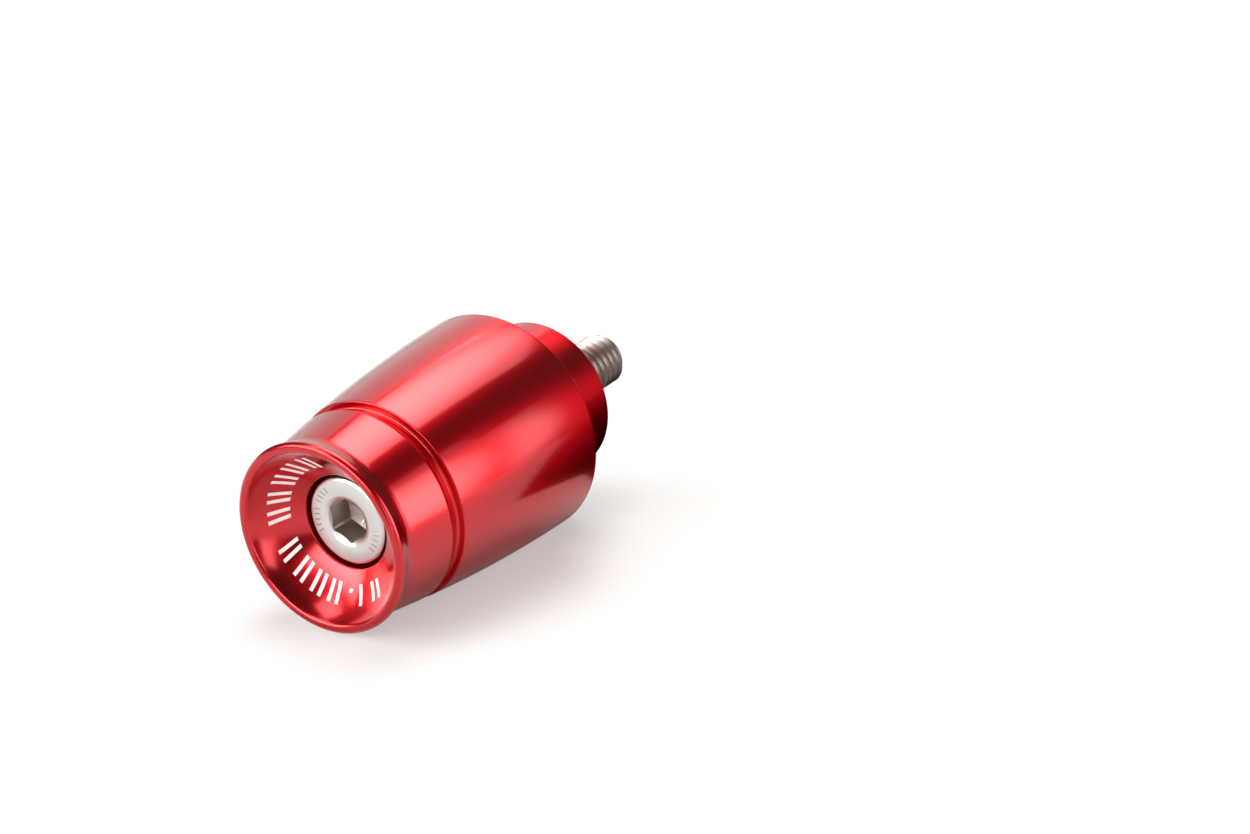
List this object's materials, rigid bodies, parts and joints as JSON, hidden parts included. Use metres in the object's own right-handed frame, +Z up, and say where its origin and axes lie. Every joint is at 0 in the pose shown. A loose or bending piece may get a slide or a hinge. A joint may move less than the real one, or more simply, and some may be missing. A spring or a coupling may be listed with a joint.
{
  "type": "bar end weight",
  "caption": "Turned bar end weight for a motorbike handlebar: waisted barrel with a dished, lipped end, a stub spigot and a cap screw through its middle.",
  "frame": {"origin": "centre of the spigot's end face, which seats on the end of the handlebar", "axes": "+X along the turning axis, from the dished end towards the tip of the screw; +Z up"},
  "size_m": [0.0694, 0.0342, 0.0342],
  "materials": {
    "red_anodised": "fine-turned and anodised red, glossy",
    "stainless": "cold-headed stainless steel, satin"
  },
  "bodies": {
    "root": {"weight_body": "red_anodised", "socket_screw": "stainless"}
  },
  "joints": []
}
